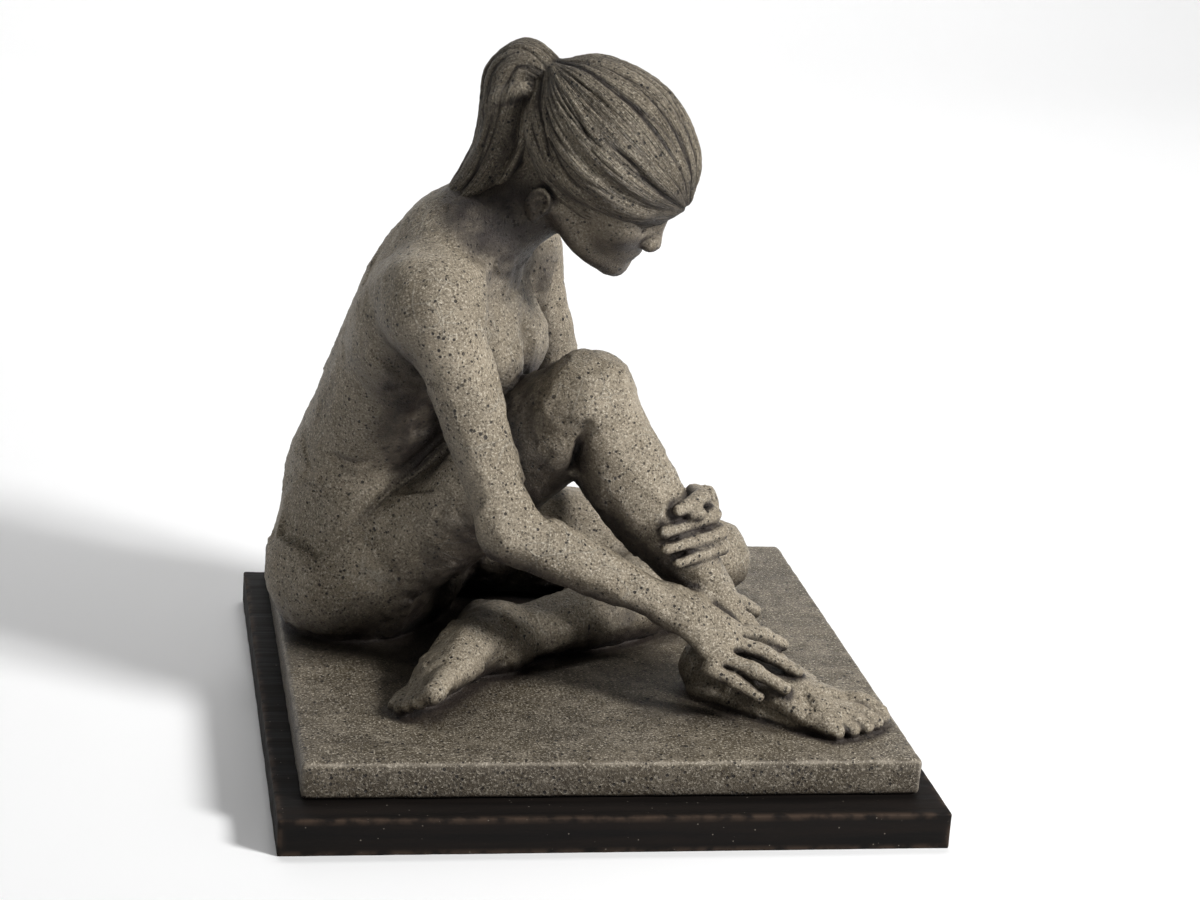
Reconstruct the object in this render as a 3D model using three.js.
// A seated woman cast in one with her square slab, resting on a stained wooden board.
// Millimetres, +Z up. The origin is the middle of the board's underside, -Y is the side
// that her right arm and leg are on, and she faces +X, turned a little towards -Y.
//
// The cast piece is described as a distance field: limbs are swept ellipses, muscles and
// joints are ellipsoids, and where two of them meet they run into each other as modelled
// clay does. The field's zero surface is then cut into triangles, and these are merged
// wherever the surface is nearly flat.
import * as THREE from 'three';

// Driving dimensions
const BOARD_SIDE = 300;
const BOARD_THICKNESS = 17;
const BOARD_EDGE_BEVEL = 1;
const SLAB_WIDTH = 279;
const SLAB_DEPTH = 280;
const SLAB_THICKNESS = 17.5;
const SLAB_EDGE_RADIUS = 2.5;
const SLAB_SHIFT_X = 0.5;
const SLAB_SHIFT_Y = 9;
const SLAB_TOP = BOARD_THICKNESS + SLAB_THICKNESS;

// How fine the field is sampled, and how many triangles the cast piece keeps
const GRID_STEP = 2.2;
const FIGURE_TRIANGLES = 9800;

// When triangles merge: how far from the underside a point still counts as on it, what
// long edges cost, and how much a face may turn (a cosine) or narrow
const FLATNESS = 1e-4;
const EVENNESS = 2e-5;
const MAX_TURN = 0.3;
const MIN_SHAPE = 0.04;

// Above this height the surface is hair and face, and its shape is kept with more care
const FINE_HEIGHT = 236;
const FINE_CARE = 8;

// Directions of her body
const UP = [0, 0, 1];
const FRONT = unit([0.87, -0.49, 0]);
const LEFT = unit([0.49, 0.87, 0]);
const RIGHT = scale(LEFT, -1);

// Joints of the skeleton
const HIP_R = [-97, 32, 71];
const HIP_L = [-68, 88, 68];
const KNEE_R = [-8, -33, 172];
const KNEE_L = [80, 74, 55];
const ANKLE_R = [68, -53, 62];
const SHOULDER_R = [-80, -41, 216];
const SHOULDER_L = [-26, 65, 217];
const ELBOW_R = [-44, -62, 118];
const ELBOW_L = [4, 72, 119];
const WRIST_R = [34, -70, 83];
const WRIST_L = [50, -10, 106];
const HEAD = [-3, -11, 283.5];

// Directions of her bowed head
const HEAD_FRONT = unit([0.745, -0.406, -0.528]);
const HEAD_RIGHT = unit([-0.558, -0.814, -0.162]);
const HEAD_UP = unit(cross(HEAD_RIGHT, HEAD_FRONT));
const HEAD_AXES = [HEAD_FRONT, HEAD_RIGHT, HEAD_UP];
const WORLD_AXES = [[1, 0, 0], [0, 1, 0], [0, 0, 1]];

// Hair: half sizes of its outline to the front, side and top, the directions of its parting
// and its tie as seen from the middle of the skull, and its locks
const SKULL_UP = 2;
const HAIR_SIZE = [44, 33.5, 38];
const PARTING = unit([0.98, -0.05, 0.05]);
const TIE = unit([-0.88, -0.12, 0.42]);
const LOCK_COUNT = 17;
const LOCK_TURN = (138 * Math.PI) / 180;
const LOCK_LIFT = 0.3;
// How far the locks stray, bend and differ in breadth, and how fast that changes from one to the next
const LOCK_STRAY = 0.056;
const LOCK_STRAY_PITCH = 5.1;
const LOCK_BEND = 0.1;
const LOCK_BEND_PITCH = 2.3;
const LOCK_UNEVEN = 0.2;
const LOCK_UNEVEN_PITCH = 3.7;
const LOCK_RADII = [3.2, 5.4, 6.6, 5.4, 3.4];
const LOCK_BLEND = 1.5;
const NAPE_LOCK_COUNT = 6;
const NAPE_WIDTH = 0.62;
const TAIL_INSET = 2;
const TAIL_STRANDS = 8;
const TAIL_TWIST = 0.12;
const TAIL_STRAND_SHARE = 1 / 6;
const TAIL_STRAND_SPARE = 0.6;
const TAIL_STRAND_BLEND = 1.2;

// Hollows of her back, and ridges of her hip and knee
const SPINE_HOLLOWS_PER_ROW = 3;
const SPINE_HOLLOW_REACH = 9;
const SPINE_HOLLOW_DEPTH = 1.5;
const CLEFT_TOP = [-93, 57];
const CLEFT_BACK = 42;
const CLEFT_LOW = 48;
const CLEFT_HIGH = 80;
const CLEFT_REACH = 8;
const CLEFT_DEPTH = 3.5;
const HIP_RIDGE_REACH = 6;
const HIP_RIDGE_HEIGHT = 1.2;
const KNEE_RIDGE_REACH = 5;
const KNEE_RIDGE_HEIGHT = 1;

// How softly parts run into each other
const LEG_BLEND = 2.5;
const ARM_BLEND = 2;
const HAIR_BLEND = 1.5;
const SLAB_BLEND = 3;
const FINGER_BLEND = 1.8;
const TOE_BLEND = 1.4;

// Vectors

function add(a, b) {
  return [a[0] + b[0], a[1] + b[1], a[2] + b[2]];
}

function scale(a, s) {
  return [a[0] * s, a[1] * s, a[2] * s];
}

function dot(a, b) {
  return a[0] * b[0] + a[1] * b[1] + a[2] * b[2];
}

function cross(a, b) {
  return [a[1] * b[2] - a[2] * b[1], a[2] * b[0] - a[0] * b[2], a[0] * b[1] - a[1] * b[0]];
}

function unit(a) {
  return scale(a, 1 / Math.hypot(...a));
}

function mix(a, b, t) {
  return a.map((value, i) => value + (b[i] - value) * t);
}

// A vector square to the direction `along`, as near to `side` as it can be
function squareTo(along, side) {
  return unit(add(side, scale(along, -dot(side, along))));
}

function headPoint(front, left, up) {
  const sideways = add(scale(HEAD_FRONT, front), scale(HEAD_RIGHT, -left));
  return add(HEAD, add(sideways, scale(HEAD_UP, up)));
}

// Distance field on a grid

const FORM_MARGIN = 6;
const SWELL_SPAN = 2.6;
const FAR = 40;

// Held apart from zero: the distance to an axis, and a divisor
const LEAST_DISTANCE = 1e-4;
const LEAST_DIVISOR = 1e-6;
const FIELD_LOW = [-156, -140, 11.5];
const FIELD_HIGH = [152, 156, 345];

function smoothMin(a, b, blend) {
  const overlap = Math.max(blend - Math.abs(a - b), 0);
  return Math.min(a, b) - (overlap * overlap) / (4 * blend);
}

function smoothMax(a, b, blend) {
  return -smoothMin(-a, -b, blend);
}

class Field {
  constructor() {
    this.size = FIELD_LOW.map((low, i) => Math.ceil((FIELD_HIGH[i] - low) / GRID_STEP) + 1);
    this.values = new Float32Array(this.size[0] * this.size[1] * this.size[2]).fill(FAR);
  }

  index(i, j, k) {
    return (i * this.size[1] + j) * this.size[2] + k;
  }

  // Runs change(oldValue, x, y, z) on every grid point between two corners
  edit(low, high, change) {
    const first = low.map((v, i) => Math.max(0, Math.floor((v - FIELD_LOW[i]) / GRID_STEP)));
    const last = high.map((v, i) => Math.ceil((v - FIELD_LOW[i]) / GRID_STEP))
      .map((v, i) => Math.min(v, this.size[i] - 1));
    for (let i = first[0]; i <= last[0]; i++) {
      for (let j = first[1]; j <= last[1]; j++) {
        for (let k = first[2]; k <= last[2]; k++) {
          const at = this.index(i, j, k);
          const x = FIELD_LOW[0] + i * GRID_STEP;
          const y = FIELD_LOW[1] + j * GRID_STEP;
          const z = FIELD_LOW[2] + k * GRID_STEP;
          this.values[at] = change(this.values[at], x, y, z);
        }
      }
    }
  }

  editAll(change) {
    this.edit(FIELD_LOW, FIELD_HIGH, change);
  }

  // Mixes a form, given by its distance function and box, with what is there
  shape(form, blend, combine) {
    const margin = blend + FORM_MARGIN;
    const low = form.low.map((v) => v - margin);
    const high = form.high.map((v) => v + margin);
    this.edit(low, high, (old, x, y, z) => combine(old, form.distance(x, y, z), blend));
  }

  tube(stations, side, blend = 5, pieces = 4) {
    this.shape(tubeForm(stations, side, pieces), blend, smoothMin);
  }

  // Presses a tube into the surface
  crease(stations, side, blend, pieces = 4) {
    const pressed = (old, distance) => smoothMax(old, -distance, blend);
    this.shape(tubeForm(stations, side, pieces), blend, pressed);
  }

  ball(centre, radii, blend, axes = WORLD_AXES) {
    this.shape(ballForm(centre, radii, axes), blend, smoothMin);
  }

  // Raises the surface near a point by a soft swelling, or sinks it
  swell(centre, reach, height) {
    const far = SWELL_SPAN * reach;
    const low = centre.map((v) => v - far);
    const high = centre.map((v) => v + far);
    this.edit(low, high, (old, x, y, z) => {
      const away = (x - centre[0]) ** 2 + (y - centre[1]) ** 2 + (z - centre[2]) ** 2;
      return old - height * Math.exp(-away / (reach * reach));
    });
  }

  // Joins another field; each weld [centre, reach, blend] softens the join around a point
  join(other, blend, welds = []) {
    let at = 0;
    this.editAll((old, x, y, z) => {
      let soft = blend;
      for (const [centre, reach, extra] of welds) {
        const away = (x - centre[0]) ** 2 + (y - centre[1]) ** 2 + (z - centre[2]) ** 2;
        soft += extra * Math.exp(-away / (reach * reach));
      }
      return smoothMin(old, other.values[at++], soft);
    });
  }
}

// A smooth curve through stations, each [x, y, z, half width, half depth]
function smoothStations(stations, pieces) {
  const count = stations.length;
  const ends = [mix(stations[1], stations[0], 2), mix(stations[count - 2], stations[count - 1], 2)];
  const all = [ends[0], ...stations, ends[1]];
  const smooth = [];
  for (let i = 0; i < count - 1; i++) {
    const [p0, p1, p2, p3] = all.slice(i, i + 4);
    for (let j = 0; j < pieces; j++) {
      const t = j / pieces;
      smooth.push(p1.map((_, n) => 0.5 * (2 * p1[n] + (p2[n] - p0[n]) * t
        + (2 * p0[n] - 5 * p1[n] + 4 * p2[n] - p3[n]) * t * t
        + (3 * p1[n] - p0[n] - 3 * p2[n] + p3[n]) * t * t * t)));
    }
  }
  smooth.push(stations[count - 1]);
  return smooth;
}

// A tube of changing elliptical section with round ends; `side` is the way of the half width
function tubeForm(stations, side, pieces) {
  const smooth = smoothStations(stations, pieces);
  const last = smooth.length - 1;
  // Each ring holds its centre, half width, half depth, and the ways along, across and deep
  const rings = smooth.map((station, n) => {
    const before = smooth[Math.max(n - 1, 0)];
    const after = smooth[Math.min(n + 1, last)];
    const along = unit([0, 1, 2].map((m) => after[m] - before[m]));
    const across = squareTo(along, side);
    return [...station, ...along, ...across, ...cross(along, across)];
  });
  const distance = (x, y, z) => {
    let nearest = Infinity;
    let place = 0;
    for (let n = 0; n < last; n++) {
      const from = rings[n];
      const to = rings[n + 1];
      const rx = to[0] - from[0];
      const ry = to[1] - from[1];
      const rz = to[2] - from[2];
      const px = x - from[0];
      const py = y - from[1];
      const pz = z - from[2];
      const t = Math.min(1, Math.max(0, (px * rx + py * ry + pz * rz) / (rx * rx + ry * ry + rz * rz)));
      const away = (px - t * rx) ** 2 + (py - t * ry) ** 2 + (pz - t * rz) ** 2;
      if (away < nearest) {
        nearest = away;
        place = n + t;
      }
    }
    const n = Math.min(Math.floor(place), last - 1);
    const ring = mix(rings[n], rings[n + 1], place - n);
    const [ox, oy, oz] = [x - ring[0], y - ring[1], z - ring[2]];
    const beyond = ox * ring[5] + oy * ring[6] + oz * ring[7];
    const wide = ox * ring[8] + oy * ring[9] + oz * ring[10];
    const thick = ox * ring[11] + oy * ring[12] + oz * ring[13];
    const least = Math.min(ring[3], ring[4]);
    const away = Math.sqrt(nearest) + LEAST_DISTANCE;
    const ratio = Math.hypot(wide / ring[3], thick / ring[4], beyond / least) + LEAST_DIVISOR;
    return away - Math.min(away / ratio, Math.max(ring[3], ring[4]));
  };
  return { distance, ...boxAround(stations.map((s) => ({ centre: s, reach: Math.max(s[3], s[4]) }))) };
}

function ballForm(centre, radii, axes) {
  const distance = (x, y, z) => {
    let size = 0;
    let slope = 0;
    for (let n = 0; n < 3; n++) {
      const axis = axes[n];
      const part = (x - centre[0]) * axis[0] + (y - centre[1]) * axis[1] + (z - centre[2]) * axis[2];
      size += (part / radii[n]) ** 2;
      slope += (part / (radii[n] * radii[n])) ** 2;
    }
    size = Math.sqrt(size);
    return (size * (size - 1)) / (Math.sqrt(slope) + LEAST_DIVISOR);
  };
  return { distance, ...boxAround([{ centre, reach: Math.max(...radii) }]) };
}

function boxAround(points) {
  const low = [0, 1, 2].map((n) => Math.min(...points.map((p) => p.centre[n] - p.reach)));
  const high = [0, 1, 2].map((n) => Math.max(...points.map((p) => p.centre[n] + p.reach)));
  return { low, high };
}

// Stations along a bone, from rows [t, to the side, to the front, half width, half depth]
function limb(from, to, side, rows) {
  const along = unit(add(to, scale(from, -1)));
  const across = squareTo(along, side);
  const ahead = cross(along, across);
  return rows.map(([t, aside, front, width, depth]) => {
    const point = add(mix(from, to, t), add(scale(across, aside), scale(ahead, front)));
    return [...point, width, depth];
  });
}

// The figure, part by part

function torso() {
  const field = new Field();
  const trunk = [
    [-92, 58, 60, 58, 45], [-93.5, 59, 84, 57, 43.5], [-96, 53.5, 110, 50, 38], [-89.5, 43.5, 138, 48, 35.5],
    [-80, 33, 164, 50, 38], [-72, 25, 190, 52, 38], [-67, 18, 212, 49, 35], [-64, 12, 233, 32, 26],
  ];
  field.tube(trunk, LEFT, 8, 10);
  // Buttocks, and the hip above the crease of the thigh
  field.ball([-109, 32, 64], [35, 34, 34], 14);
  field.ball([-85, 92, 62], [38, 34, 32], 14);
  field.ball([-93, 16, 98], [24, 18, 20], 14);
  // Shoulders and shoulder blades
  field.tube([[-74, -16, 222, 13, 17], [-80, -36, 217, 15, 17]], UP, 16);
  field.tube([[-46, 42, 224, 13, 17], [-33, 60, 217, 15, 17]], UP, 16);
  field.ball([-97, -8, 196], [16, 19, 26], 12);
  field.ball([-92, -25, 217], [13, 17, 17], 14);
  field.ball([-84, 8, 214], [17, 24, 23], 14);
  field.ball([-69, 49, 198], [16, 19, 26], 12);
  // Breasts
  field.ball([-49, -8, 177], [15, 16, 18], 18);
  field.ball([-33, 28, 181], [15, 16, 18], 18);
  // Neck, and the muscle from it to each shoulder
  field.tube([
    [-68, 10, 226, 26, 21], [-48, 4, 243, 19.5, 18.5], [-32, 0, 258, 18, 19], [-20, -3, 272, 18, 20],
  ], LEFT, 12);
  field.tube([[-50, 2, 244, 9, 9], [-68, -11, 233, 11, 11], [-84, -28, 223, 11, 12]], UP, 12);
  field.tube([[-42, 14, 246, 9, 9], [-46, 32, 234, 11, 11], [-38, 52, 226, 10, 11]], UP, 12);
  // Hollows of the waist
  field.swell([-72, -9, 152], 17, -6);
  field.swell([-40, 66, 152], 17, -5);
  // Hollow of the spine, and the cleft below it
  for (let row = 1; row < trunk.length - 1; row++) {
    for (let n = 0; n < SPINE_HOLLOWS_PER_ROW; n++) {
      const [x, y, z, , depth] = mix(trunk[row], trunk[row + 1], n / SPINE_HOLLOWS_PER_ROW);
      field.swell(add([x, y, z], scale(FRONT, -depth)), SPINE_HOLLOW_REACH, -SPINE_HOLLOW_DEPTH);
    }
  }
  for (let height = CLEFT_LOW; height <= CLEFT_HIGH; height += CLEFT_REACH) {
    field.swell(add([...CLEFT_TOP, height], scale(FRONT, -CLEFT_BACK)), CLEFT_REACH, -CLEFT_DEPTH);
  }
  return field;
}

// Direction on the skull in her head's axes, from the parting (t = 0) to the tie (t = 1);
// turn 0 runs over the crown, and plus or minus a half turn would run under the chin
function hairWay(turn, t) {
  const chord = add(TIE, scale(PARTING, -1));
  const forward = unit(chord);
  const crownward = squareTo(forward, UP);
  const sideward = cross(crownward, forward);
  const out = add(scale(crownward, Math.cos(turn)), scale(sideward, Math.sin(turn)));
  const start = add(PARTING, scale(chord, (1 - Math.cos(Math.PI * t)) / 2));
  const along = dot(start, out);
  return add(start, scale(out, -along + Math.sqrt(along * along + 1 - dot(start, start))));
}

// A round lock of hair through directions on the skull, lying just under the hair's outline
function lock(field, ways, radii) {
  const stations = ways.map((way, n) => {
    const [front, left, up] = way.map((part, m) => part * (HAIR_SIZE[m] + LOCK_LIFT - radii[n]));
    return [...headPoint(front, left, up + SKULL_UP), radii[n], radii[n]];
  });
  field.tube(stations, [0.3, 0.5, 0.8], LOCK_BLEND);
}

function head() {
  const field = new Field();
  field.ball(headPoint(0, 0, SKULL_UP), [40, 30, 35], 4, HEAD_AXES);
  // Face, jaw and chin
  field.ball(headPoint(15, 0, -15), [24, 23.5, 31], 10, HEAD_AXES);
  field.tube([
    [...headPoint(0, -20, -26), 7, 9], [...headPoint(19, -12, -38), 6, 8],
    [...headPoint(30, 0, -42), 7, 8],
    [...headPoint(19, 12, -38), 6, 8], [...headPoint(0, 20, -26), 7, 9],
  ], HEAD_UP, 9);
  // Nose
  field.tube([
    [...headPoint(37.5, 0, -7), 2.6, 2.6], [...headPoint(40, 0, -15), 3, 3],
    [...headPoint(42.5, 0, -22), 4, 3.6],
  ], HEAD_RIGHT, 5);
  // Locks from the parting round the head to the tie, uneven in place, bend and breadth
  for (let n = 0; n < LOCK_COUNT; n++) {
    const turn = LOCK_TURN * ((2 * n) / (LOCK_COUNT - 1) - 1) + LOCK_STRAY * Math.sin(LOCK_STRAY_PITCH * n);
    const bend = LOCK_BEND * Math.cos(LOCK_BEND_PITCH * n);
    const wayAt = (t) => hairWay(turn + bend * Math.sin(2 * Math.PI * t), t);
    const breadth = 1 + LOCK_UNEVEN * Math.sin(LOCK_UNEVEN_PITCH * n);
    lock(field, [0.06, 0.25, 0.5, 0.75, 0.95].map(wayAt), LOCK_RADII.map((radius) => radius * breadth));
  }
  // Locks from the nape up to the tie
  for (let n = 0; n < NAPE_LOCK_COUNT; n++) {
    const aside = NAPE_WIDTH * ((2 * n) / (NAPE_LOCK_COUNT - 1) - 1);
    const start = unit([-0.62, aside, -0.72]);
    lock(field, [0, 0.3, 0.6, 0.95].map((t) => unit(mix(start, TIE, t))), [4, 5.6, 5.2, 3.4]);
  }
  // Ears
  for (const side of [-1, 1]) {
    field.ball(headPoint(-6, side * 30, -26.5), [5.5, 3.2, 8], 2, HEAD_AXES);
  }
  return field;
}

function ponytail() {
  const field = new Field();
  const tail = [
    [-25, -5, 312, 5, 5], [-31, -1, 316.5, 8.5, 8], [-39, 4, 318.5, 12, 11.5], [-44, 7, 311, 14, 14],
    [-45, 7, 297, 14, 14], [-48, 8, 279, 13.5, 13], [-54, 10, 263, 14, 13], [-65, 13, 248, 15.5, 10.5],
    [-79, 16, 235, 17, 7.5], [-93, 20, 220, 17, 5],
  ];
  field.tube(tail.map(([x, y, z, width, depth]) => [x, y, z, width - TAIL_INSET, depth - TAIL_INSET]), LEFT);
  // Strands round the tail, winding a little as they fall
  for (let n = 0; n < TAIL_STRANDS; n++) {
    const strand = tail.map(([x, y, z, width, depth], row) => {
      const before = tail[Math.max(row - 1, 0)];
      const after = tail[Math.min(row + 1, tail.length - 1)];
      const along = unit([0, 1, 2].map((m) => after[m] - before[m]));
      const across = squareTo(along, LEFT);
      const turn = (2 * Math.PI * n) / TAIL_STRANDS + TAIL_TWIST * row;
      const radius = (width + depth) * TAIL_STRAND_SHARE + TAIL_STRAND_SPARE;
      const aside = scale(across, Math.cos(turn) * (width - radius));
      const deep = scale(cross(along, across), Math.sin(turn) * (depth - radius));
      return [...add([x, y, z], add(aside, deep)), radius, radius];
    });
    field.tube(strand, LEFT, TAIL_STRAND_BLEND);
  }
  // The band that ties it
  field.tube([[-24, -6, 311, 8, 8], [-28, -3.5, 314, 8, 8]], LEFT, TAIL_STRAND_BLEND);
  return field;
}

function rightLeg() {
  const field = new Field();
  field.tube(limb(HIP_R, KNEE_R, RIGHT, [
    [0, 0, 3, 31, 31], [0.25, 0, 4, 30, 28.5], [0.5, 0, 3, 28, 27.5],
    [0.75, 0, 1, 25.5, 26.5], [0.92, 0, 1, 22.5, 24], [1, 0, 0, 20, 20],
  ]), RIGHT, 6);
  field.tube(limb(KNEE_R, ANKLE_R, RIGHT, [
    [0, 0, 0, 19, 19.5], [0.12, 0, 1, 18.5, 20], [0.3, 0, 3, 18.5, 21], [0.5, 0, 2.5, 16, 18],
    [0.75, 0, 0, 11.5, 13], [0.92, 0, 0, 10.5, 12], [1, 0, 0, 11, 13],
  ]), RIGHT, 8);
  // Kneecap
  field.ball(add(KNEE_R, [8, -2, 6]), [10, 12, 12], 9);
  // Foot, from the heel to the ball, and its toes from the smallest: how far on and across
  // they start, length, radius
  const across = unit([0.55, 0.84, 0]);
  field.tube([
    [56, -47, 46, 13, 11.5], [70, -59, 50, 15.5, 15], [87, -74, 45, 18, 11.5], [102, -86, 41, 19.5, 8.5],
    [112, -94, 38.5, 19.5, 6.5],
  ], across, 8);
  // Mass left under the heel and sole
  field.tube([
    [57, -52, 38, 14, 8.5], [72, -64, 38.5, 16.5, 8.5], [88, -76, 37.5, 18.5, 6.5], [103, -88, 35.5, 17, 3.5],
  ], across, 3);
  const toeWay = [0.81, -0.58, 0];
  const toes = [[-3, -16, 17, 3.6], [1, -9, 18, 3.8], [4, -2, 19, 4], [6, 5.2, 19, 4.2], [4, 14.2, 20, 5.8]];
  for (const [on, aside, length, radius] of toes) {
    const base = add([103, -87.5, 40], add(scale(toeWay, on), scale(across, aside)));
    const tip = add(add(base, scale(toeWay, length)), [0, 0, -1.8]);
    const knuckle = add(add(base, scale(toeWay, length / 2)), [0, 0, 2]);
    toe(field, base, knuckle, tip, radius, across);
  }
  return field;
}

// A toe through three points, a little narrower at its knuckle and flatter at its tip
function toe(field, base, knuckle, tip, radius, across) {
  field.tube([
    [...base, radius, radius], [...knuckle, radius * 0.9, radius * 0.9], [...tip, radius, radius * 0.85],
  ], across, TOE_BLEND);
}

function leftLeg() {
  const field = new Field();
  field.tube(limb(HIP_L, KNEE_L, UP, [
    [0, 0, 0, 33, 34], [0.25, 0, 0, 30, 33], [0.5, 0, 0, 27, 29],
    [0.75, 0, 0, 24, 24], [0.95, 0, 0, 22, 21], [1, 0, 0, 20, 19],
  ]), UP, 6);
  field.tube([
    [79, 74, 54, 19, 18], [66, 60, 53, 19, 19.5], [46, 39, 51, 18.5, 22], [20, 17, 49, 16.5, 20],
    [-4, 0, 49, 14, 15.5], [-22, -12, 49, 13, 13.5], [-34, -18, 48, 13.5, 13.5],
  ], UP, 8);
  // Kneecap
  field.ball(add(KNEE_L, [11, -2, 1]), [10, 12, 12], 9);
  // Foot on its outer edge, sole towards the seat, and its toes as on the right foot
  const toeWay = unit([-0.44, -0.89, -0.08]);
  const across = unit([0.7, -0.4, 0.6]);
  field.tube([
    [-45, -4, 49, 11, 11], [-46, -17, 50, 14, 13], [-57, -37, 49, 15.5, 13], [-69, -56, 46, 17, 10.5],
    [-77, -69, 43.5, 17, 7.5],
  ], across, 8);
  field.ball([-40, -27, 47], [12, 11, 11], 12);
  const toes = [
    [-1, -13, 14, 3.5], [1, -7.5, 15, 3.7], [2.5, -1.5, 16, 4], [3, 5, 17, 4.3], [2, 13.5, 18, 5.8],
  ];
  for (const [on, aside, length, radius] of toes) {
    const base = add([-79, -68, 43.5], add(scale(toeWay, on), scale(across, aside)));
    const tip = add(base, scale(toeWay, length));
    for (const end of [base, tip]) {
      end[2] = Math.max(end[2], SLAB_TOP + radius * 0.8);
    }
    const knuckle = add(mix(base, tip, 0.5), [0, 0, 1.2]);
    toe(field, base, knuckle, tip, radius, across);
  }
  return field;
}

function arm(field, shoulder, elbow, wrist) {
  field.tube(limb(shoulder, elbow, UP, [
    [0, 0, 0, 16, 17.5], [0.25, 0, 0, 15.5, 17], [0.5, 0, 0, 14.5, 15.5], [0.8, 0, 0, 12.8, 13.5],
    [1, 0, 0, 12.5, 12.5],
  ]), UP, 6);
  field.tube(limb(elbow, wrist, UP, [
    [0, 0, 0, 12.5, 12.5], [0.2, 0, 0, 13, 13.5], [0.5, 0, 0, 11.5, 12.5], [0.8, 0, 0, 9, 10.5],
    [1, 0, 0, 8, 10.5],
  ]), UP, 8);
}

// A finger through three points, thinner at its tip
function finger(field, base, knuckle, tip, radius) {
  field.tube([
    [...base, radius, radius], [...knuckle, radius * 0.97, radius * 0.97],
    [...tip, radius * 0.7, radius * 0.7],
  ], UP, FINGER_BLEND);
}

// Her right hand lies over the right ankle
function rightArm() {
  const field = new Field();
  arm(field, SHOULDER_R, ELBOW_R, WRIST_R);
  const palmSide = [0.25, -0.54, 0.78];
  field.tube([[32, -69, 84, 8, 10.5], [44, -72, 78, 7, 12.5], [57, -77, 68.5, 5.5, 15.5]], palmSide, 7);
  finger(field, [62, -66, 70], [79, -62.5, 67], [90, -58.5, 61], 4);
  finger(field, [60, -76, 69], [76, -80.5, 65.5], [91, -82, 57.5], 4.1);
  finger(field, [55, -83.5, 65], [69, -89, 60.5], [83, -92, 53], 3.9);
  finger(field, [48, -87, 60.5], [59, -90.5, 56], [71, -92.5, 49], 3.6);
  // Thumb
  field.tube([
    [42, -62, 82, 7, 7], [57, -50, 80, 5.6, 5.6], [70, -40, 75, 4.4, 4.4], [81, -34, 68, 3.4, 3.4],
  ], UP, 3);
  return field;
}

// Her left hand holds the right shin
function leftArm() {
  const field = new Field();
  arm(field, SHOULDER_L, ELBOW_L, WRIST_L);
  field.tube([[50, -10, 106, 9, 8], [53, -20, 110, 14, 7], [54, -33, 114, 16.5, 6]], UP, 6);
  finger(field, [48, -29, 125.5], [44, -46, 129.5], [35, -58, 127], 4.3);
  finger(field, [51, -30, 119], [52, -48.5, 121], [28, -61.5, 117.5], 4.1);
  finger(field, [54, -31, 112], [55.5, -50, 113], [29, -64, 110], 4);
  finger(field, [56, -30, 105], [57.5, -50, 106], [34, -65, 103.5], 3.7);
  // Thumb
  field.tube([[50, -14, 112, 6.5, 6.5], [38, -18, 122, 5.5, 5.5], [28, -24, 131, 4.5, 4.5]], UP, 5);
  return field;
}

// Creases and ridges that the modeller left on the body
function workSurface(field) {
  // Between the belly and the right thigh
  field.crease([
    [-121, 0, 77, 1.5, 1.5], [-110, -3, 93, 4, 2], [-97, -3.5, 110, 6, 2], [-83, -6, 122, 8, 2.5],
    [-70, -10, 137, 10, 3],
  ], [-0.2, -0.95, 0.1], 4);
  // Behind the right knee
  field.crease([
    [-11.5, -54.5, 166, 1.5, 1.5], [-11.6, -53, 158, 4, 2], [-11.8, -50, 150, 7, 2], [-12, -44, 139, 10, 2.5],
  ], [0.1, -0.98, 0.1], 3.5);
  for (const place of [[-126, 15, 126], [-123.6, 13, 115], [-121, 8, 101], [-117, 3, 90]]) {
    field.swell(place, HIP_RIDGE_REACH, HIP_RIDGE_HEIGHT);
  }
  for (const place of [[-15.6, -49, 187], [-14.2, -54, 177], [-14.5, -54, 168]]) {
    field.swell(place, KNEE_RIDGE_REACH, KNEE_RIDGE_HEIGHT);
  }
}

// Slab

function slabDistance(x, y, z) {
  const inner = SLAB_EDGE_RADIUS;
  const beyondX = Math.abs(x - SLAB_SHIFT_X) - (SLAB_WIDTH / 2 - inner);
  const beyondY = Math.abs(y - SLAB_SHIFT_Y) - (SLAB_DEPTH / 2 - inner);
  const beyondZ = Math.abs(z - (SLAB_TOP + BOARD_THICKNESS) / 2) - (SLAB_THICKNESS / 2 - inner);
  const outside = Math.hypot(Math.max(beyondX, 0), Math.max(beyondY, 0), Math.max(beyondZ, 0));
  return outside + Math.min(Math.max(beyondX, beyondY, beyondZ), 0) - inner;
}

function castPiece() {
  const body = torso();
  body.join(rightLeg(), LEG_BLEND, [[HIP_R, 34, 22]]);
  body.join(leftLeg(), LEG_BLEND, [[HIP_L, 34, 22]]);
  const backOfArm = [-96, -44, 196];
  const topOfChest = [-62, -26, 224];
  body.join(rightArm(), ARM_BLEND, [[SHOULDER_R, 34, 24], [backOfArm, 20, 12], [topOfChest, 12, 12]]);
  body.join(leftArm(), ARM_BLEND, [[SHOULDER_L, 34, 24]]);
  body.join(head(), ARM_BLEND, [[headPoint(-12, 0, -26), 24, 9]]);
  body.join(ponytail(), HAIR_BLEND);
  workSurface(body);
  body.editAll((old, x, y, z) => {
    const withSlab = smoothMin(old, slabDistance(x, y, z), SLAB_BLEND);
    return Math.max(withSlab, BOARD_THICKNESS - z);
  });
  return body;
}

// Surface of the field

// Corner n of a cell is shifted by these steps along x, y and z
const CORNERS = [0, 1, 2, 3, 4, 5, 6, 7].map((n) => [n & 1, (n >> 1) & 1, (n >> 2) & 1]);
const CELL_EDGES = [];
for (let a = 0; a < 8; a++) {
  for (const bit of [1, 2, 4]) {
    if (!(a & bit)) {
      CELL_EDGES.push([a, a | bit]);
    }
  }
}

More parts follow.
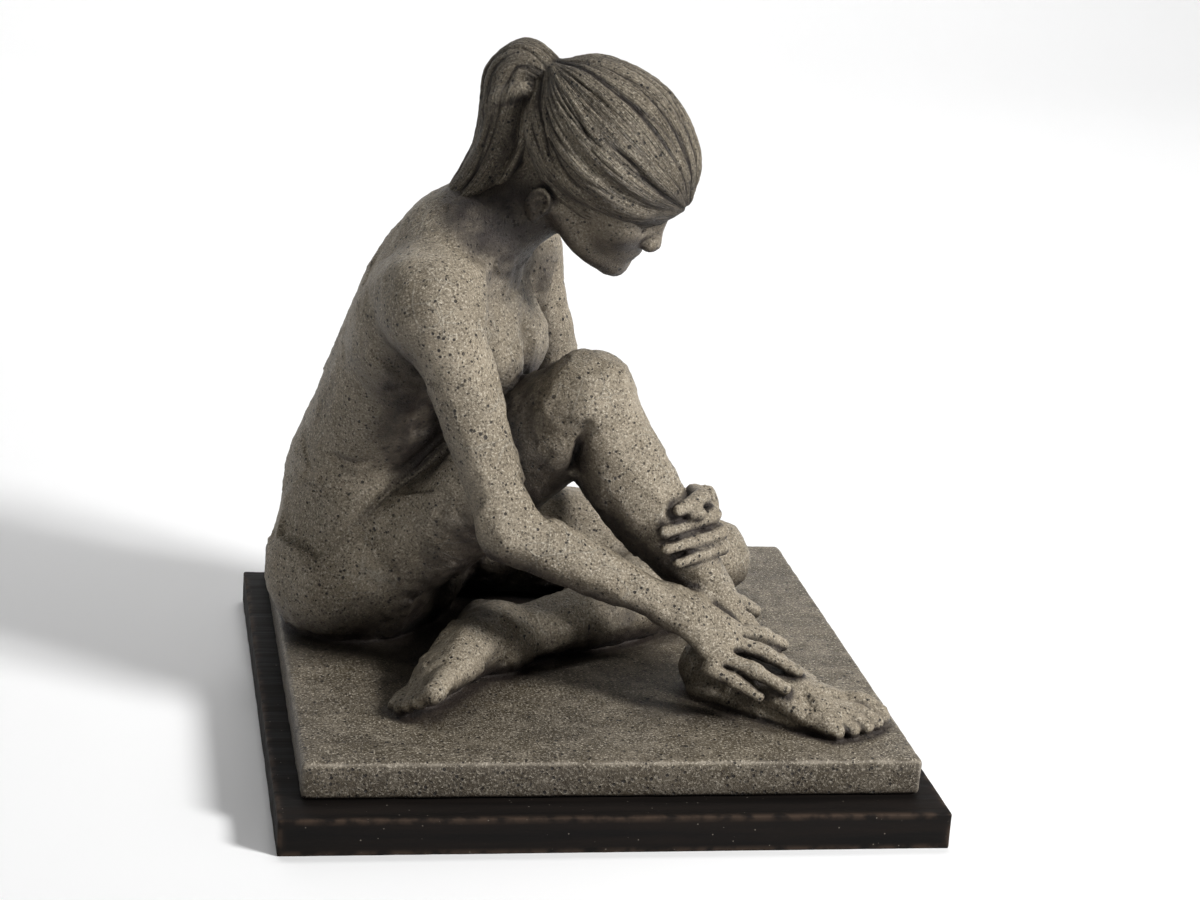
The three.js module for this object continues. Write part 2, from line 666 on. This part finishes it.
// True where the corners of a cell that are inside hang together along its edges, and so
// do those outside, so that one sheet of surface passes through the cell
function isSimpleCell(inside) {
  for (const wanted of [true, false]) {
    const members = CORNERS.map((_, n) => n).filter((n) => Boolean(inside & (1 << n)) === wanted);
    const reached = new Set(members.slice(0, 1));
    for (let pass = 0; pass < 8; pass++) {
      for (const [a, b] of CELL_EDGES) {
        if (members.includes(a) && members.includes(b) && (reached.has(a) || reached.has(b))) {
          reached.add(a);
          reached.add(b);
        }
      }
    }
    if (reached.size < members.length) {
      return false;
    }
  }
  return true;
}

const SIMPLE_CELLS = Array.from({ length: 256 }, (_, inside) => isSimpleCell(inside));

function cellState(field, i, j, k) {
  let inside = 0;
  for (let n = 0; n < 8; n++) {
    if (field.values[field.index(i + CORNERS[n][0], j + CORNERS[n][1], k + CORNERS[n][2])] < 0) {
      inside |= 1 << n;
    }
  }
  return inside;
}

function forEachCell(field, visit) {
  for (let i = 0; i < field.size[0] - 1; i++) {
    for (let j = 0; j < field.size[1] - 1; j++) {
      for (let k = 0; k < field.size[2] - 1; k++) {
        visit(i, j, k);
      }
    }
  }
}

// Where two sheets pass through one cell, the corner nearest to the surface changes sides
const SHEET_NUDGE = 0.1 * GRID_STEP;

function separateSheets(field) {
  let changed = true;
  while (changed) {
    changed = false;
    forEachCell(field, (i, j, k) => {
      const inside = cellState(field, i, j, k);
      if (SIMPLE_CELLS[inside]) {
        return;
      }
      let best = -1;
      let least = Infinity;
      for (let n = 0; n < 8; n++) {
        const at = field.index(i + CORNERS[n][0], j + CORNERS[n][1], k + CORNERS[n][2]);
        const size = Math.abs(field.values[at]);
        if (SIMPLE_CELLS[inside ^ (1 << n)] && size < least) {
          least = size;
          best = at;
        }
      }
      field.values[best] = field.values[best] < 0 ? SHEET_NUDGE : -SHEET_NUDGE;
      changed = true;
    });
  }
}

// One point in each cell that the surface passes through, and a square across each grid
// edge that it crosses
function surfaceOf(field) {
  separateSheets(field);
  const points = [];
  const pointOf = new Int32Array(field.values.length).fill(-1);
  forEachCell(field, (i, j, k) => {
    const inside = cellState(field, i, j, k);
    if (inside === 0 || inside === 255) {
      return;
    }
    const sum = [0, 0, 0];
    let crossings = 0;
    for (const [a, b] of CELL_EDGES) {
      const [ca, cb] = [CORNERS[a], CORNERS[b]];
      const va = field.values[field.index(i + ca[0], j + ca[1], k + ca[2])];
      const vb = field.values[field.index(i + cb[0], j + cb[1], k + cb[2])];
      if ((va < 0) !== (vb < 0)) {
        const t = va / (va - vb);
        for (let n = 0; n < 3; n++) {
          sum[n] += ca[n] + (cb[n] - ca[n]) * t;
        }
        crossings++;
      }
    }
    pointOf[field.index(i, j, k)] = points.length;
    points.push([i, j, k].map((cell, n) => FIELD_LOW[n] + (cell + sum[n] / crossings) * GRID_STEP));
  });
  const triangles = [];
  const steps = [field.index(1, 0, 0), field.index(0, 1, 0), field.index(0, 0, 1)];
  forEachCell(field, (i, j, k) => {
    const at = field.index(i, j, k);
    const here = field.values[at] < 0;
    for (let n = 0; n < 3; n++) {
      if (here === field.values[at + steps[n]] < 0) {
        continue;
      }
      const u = steps[(n + 1) % 3];
      const v = steps[(n + 2) % 3];
      const square = [pointOf[at - u - v], pointOf[at - v], pointOf[at], pointOf[at - u]];
      if (!here) {
        square.reverse();
      }
      const [a, b, c, d] = square;
      if (distanceBetween(points[a], points[c]) < distanceBetween(points[b], points[d])) {
        triangles.push([a, b, c], [a, c, d]);
      } else {
        triangles.push([b, c, d], [b, d, a]);
      }
    }
  });
  return { points, triangles };
}

function distanceBetween(a, b) {
  return Math.hypot(a[0] - b[0], a[1] - b[1], a[2] - b[2]);
}

// Fewer triangles: the edge whose loss moves the surface least is closed up first

// A quadric holds the sum of squared distances to planes as [xx, xy, xz, yy, yz, zz, x, y, z, 1]
function planeQuadric(n, d, weight) {
  const [a, b, c] = n;
  return [a * a, a * b, a * c, b * b, b * c, c * c, a * d, b * d, c * d, d * d].map((v) => v * weight);
}

function quadricValue(q, [x, y, z]) {
  return q[0] * x * x + 2 * q[1] * x * y + 2 * q[2] * x * z + q[3] * y * y + 2 * q[4] * y * z + q[5] * z * z
    + 2 * (q[6] * x + q[7] * y + q[8] * z) + q[9];
}

// The point with the least value, held near `middle` where the quadric is nearly flat
const HOLD = 1e-3;

function quadricBest(q, middle) {
  const hold = HOLD * (q[0] + q[3] + q[5]) + LEAST_DIVISOR;
  const [a, b, c, d, e, f] = [q[0] + hold, q[1], q[2], q[3] + hold, q[4], q[5] + hold];
  const right = [hold * middle[0] - q[6], hold * middle[1] - q[7], hold * middle[2] - q[8]];
  const cofactors = [d * f - e * e, c * e - b * f, b * e - c * d];
  const determinant = a * cofactors[0] + b * cofactors[1] + c * cofactors[2];
  const rows = [
    cofactors,
    [cofactors[1], a * f - c * c, b * c - a * e],
    [cofactors[2], b * c - a * e, a * d - b * b],
  ];
  return rows.map((row) => dot(row, right) / determinant);
}

class Queue {
  constructor() {
    this.items = [];
  }

  push(item) {
    const items = this.items;
    let at = items.push(item) - 1;
    while (at > 0) {
      const parent = (at - 1) >> 1;
      if (items[parent].cost <= item.cost) {
        break;
      }
      items[at] = items[parent];
      at = parent;
    }
    items[at] = item;
  }

  pop() {
    const items = this.items;
    const first = items[0];
    const item = items.pop();
    if (items.length > 0) {
      let at = 0;
      for (;;) {
        let child = 2 * at + 1;
        if (child >= items.length) {
          break;
        }
        if (child + 1 < items.length && items[child + 1].cost < items[child].cost) {
          child++;
        }
        if (items[child].cost >= item.cost) {
          break;
        }
        items[at] = items[child];
        at = child;
      }
      items[at] = item;
    }
    return first;
  }
}

function triangleNormal(a, b, c) {
  return cross(add(b, scale(a, -1)), add(c, scale(a, -1)));
}

function thin({ points, triangles }, wanted) {
  const fans = points.map(() => new Set());
  const quadrics = points.map(() => new Array(10).fill(0));
  const stamps = new Int32Array(points.length);
  triangles.forEach((corners, t) => {
    const [a, b, c] = corners.map((v) => points[v]);
    const area = triangleNormal(a, b, c);
    const size = Math.hypot(...area);
    const normal = size > 0 ? scale(area, 1 / size) : [0, 0, 0];
    const care = a[2] > FINE_HEIGHT ? FINE_CARE : 1;
    const quadric = planeQuadric(normal, -dot(normal, a), size * care);
    for (const v of corners) {
      fans[v].add(t);
      quadric.forEach((value, n) => { quadrics[v][n] += value; });
    }
  });
  const isBottom = (v) => Math.abs(points[v][2] - BOARD_THICKNESS) < FLATNESS;
  const queue = new Queue();
  const enqueue = (a, b) => {
    const quadric = quadrics[a].map((value, n) => value + quadrics[b][n]);
    const place = mergedPlace(quadric, points[a], points[b], isBottom(a), isBottom(b));
    const length = distanceBetween(points[a], points[b]);
    const cost = quadricValue(quadric, place) + EVENNESS * length ** 4;
    queue.push({ a, b, place, cost, stampA: stamps[a], stampB: stamps[b] });
  };
  const neighbours = (v) => {
    const found = new Set();
    for (const t of fans[v]) {
      triangles[t].forEach((w) => found.add(w));
    }
    found.delete(v);
    return found;
  };
  triangles.forEach(([a, b, c]) => {
    for (const [from, to] of [[a, b], [b, c], [c, a]]) {
      if (from < to) {
        enqueue(from, to);
      }
    }
  });
  let left = triangles.length;
  while (left > wanted && queue.items.length > 0) {
    const { a, b, place, stampA, stampB } = queue.pop();
    if (stamps[a] !== stampA || stamps[b] !== stampB) {
      continue;
    }
    const aroundB = neighbours(b);
    const shared = [...neighbours(a)].filter((v) => aroundB.has(v));
    if (shared.length !== 2 || folds(points, triangles, fans, a, b, place)) {
      continue;
    }
    for (const t of [...fans[b]]) {
      if (triangles[t].includes(a)) {
        triangles[t].forEach((v) => fans[v].delete(t));
        triangles[t] = null;
        left--;
      } else {
        triangles[t] = triangles[t].map((v) => (v === b ? a : v));
        fans[a].add(t);
      }
    }
    fans[b].clear();
    quadrics[b].forEach((value, n) => { quadrics[a][n] += value; });
    points[a] = place;
    stamps[a]++;
    stamps[b] = -1;
    for (const v of neighbours(a)) {
      enqueue(Math.min(a, v), Math.max(a, v));
    }
  }
  return { points, triangles: triangles.filter(Boolean) };
}

// Points of the flat underside stay on it
function mergedPlace(quadric, from, to, fromBottom, toBottom) {
  if (fromBottom && toBottom) {
    return [(from[0] + to[0]) / 2, (from[1] + to[1]) / 2, BOARD_THICKNESS];
  }
  if (fromBottom || toBottom) {
    return fromBottom ? [...from] : [...to];
  }
  const best = quadricBest(quadric, mix(from, to, 0.5));
  best[2] = Math.max(best[2], BOARD_THICKNESS);
  return best;
}

// True where moving both ends of an edge to `place` would turn a face over or squash it
function folds(points, triangles, fans, a, b, place) {
  for (const [moved, other] of [[a, b], [b, a]]) {
    for (const t of fans[moved]) {
      if (triangles[t].includes(other)) {
        continue;
      }
      const before = triangles[t].map((v) => points[v]);
      const after = triangles[t].map((v) => (v === moved ? place : points[v]));
      const oldNormal = triangleNormal(...before);
      const newNormal = triangleNormal(...after);
      const size = Math.hypot(...newNormal);
      if (dot(oldNormal, newNormal) < MAX_TURN * Math.hypot(...oldNormal) * size) {
        return true;
      }
      const sides = [distanceBetween(after[0], after[1]), distanceBetween(after[1], after[2]),
        distanceBetween(after[2], after[0])];
      if (size < MIN_SHAPE * Math.max(...sides) ** 2) {
        return true;
      }
    }
  }
  return false;
}

function meshOf({ points, triangles }, name, material) {
  const used = new Map();
  const positions = [];
  const indices = triangles.flat().map((v) => {
    if (!used.has(v)) {
      used.set(v, used.size);
      positions.push(...points[v]);
    }
    return used.get(v);
  });
  const geometry = new THREE.BufferGeometry();
  geometry.setAttribute('position', new THREE.Float32BufferAttribute(positions, 3));
  geometry.setIndex(indices);
  geometry.computeVertexNormals();
  const mesh = new THREE.Mesh(geometry, material);
  mesh.name = name;
  return mesh;
}

// Board

function board() {
  const half = BOARD_SIDE / 2 - BOARD_EDGE_BEVEL;
  const outline = new THREE.Shape();
  outline.moveTo(-half, -half);
  outline.lineTo(half, -half);
  outline.lineTo(half, half);
  outline.lineTo(-half, half);
  outline.closePath();
  const geometry = new THREE.ExtrudeGeometry(outline, {
    depth: BOARD_THICKNESS - 2 * BOARD_EDGE_BEVEL,
    bevelSize: BOARD_EDGE_BEVEL,
    bevelThickness: BOARD_EDGE_BEVEL,
    bevelSegments: 1,
  });
  const material = new THREE.MeshStandardMaterial({ color: 0x23201e, roughness: 0.5, metalness: 0 });
  const mesh = new THREE.Mesh(geometry, material);
  mesh.name = 'display_board';
  mesh.position.z = BOARD_EDGE_BEVEL;
  return mesh;
}

const stone = new THREE.MeshStandardMaterial({ color: 0x8a8071, roughness: 0.85, metalness: 0 });
const part = new THREE.Group();
part.add(meshOf(thin(surfaceOf(castPiece()), FIGURE_TRIANGLES), 'seated_figure', stone));
part.add(board());

export default part;
